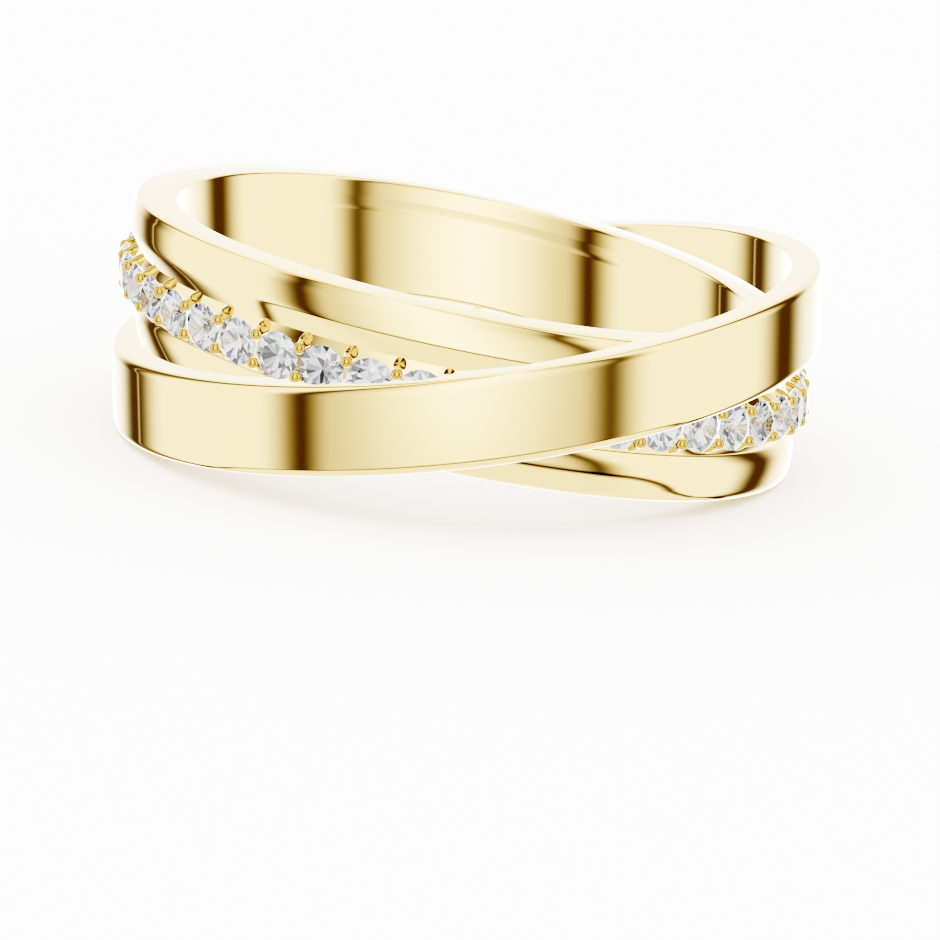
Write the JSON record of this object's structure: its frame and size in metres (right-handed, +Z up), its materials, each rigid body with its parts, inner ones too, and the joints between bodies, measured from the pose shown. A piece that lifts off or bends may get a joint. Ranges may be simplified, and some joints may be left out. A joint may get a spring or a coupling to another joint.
{
  "type": "crossover ring",
  "caption": "Finger ring whose plain polished band crosses over a sloping band set with a row of small round brilliants in shared prongs.",
  "frame": {"origin": "middle of the ring's box, at the height of the surface that the ring lies on", "axes": "+Z up, -Y towards the middle of the row of stones at the front, +X to the right as the picture shows the ring"},
  "size_m": [0.0214, 0.0214, 0.0071],
  "materials": {
    "gold": "polished yellow gold",
    "diamond": "clear, facet-cut and polished"
  },
  "bodies": {
    "root": {"crossover_band": "gold", "stone_01": "diamond", "stone_02": "diamond", "stone_03": "diamond", "stone_04": "diamond", "stone_05": "diamond", "stone_06": "diamond", "stone_07": "diamond", "stone_08": "diamond", "stone_09": "diamond", "stone_10": "diamond", "stone_11": "diamond", "stone_12": "diamond", "stone_13": "diamond", "stone_14": "diamond", "stone_15": "diamond", "stone_16": "diamond", "stone_17": "diamond", "stone_18": "diamond", "stone_19": "diamond", "stone_20": "diamond", "stone_21": "diamond", "stone_22": "diamond"}
  },
  "joints": []
}
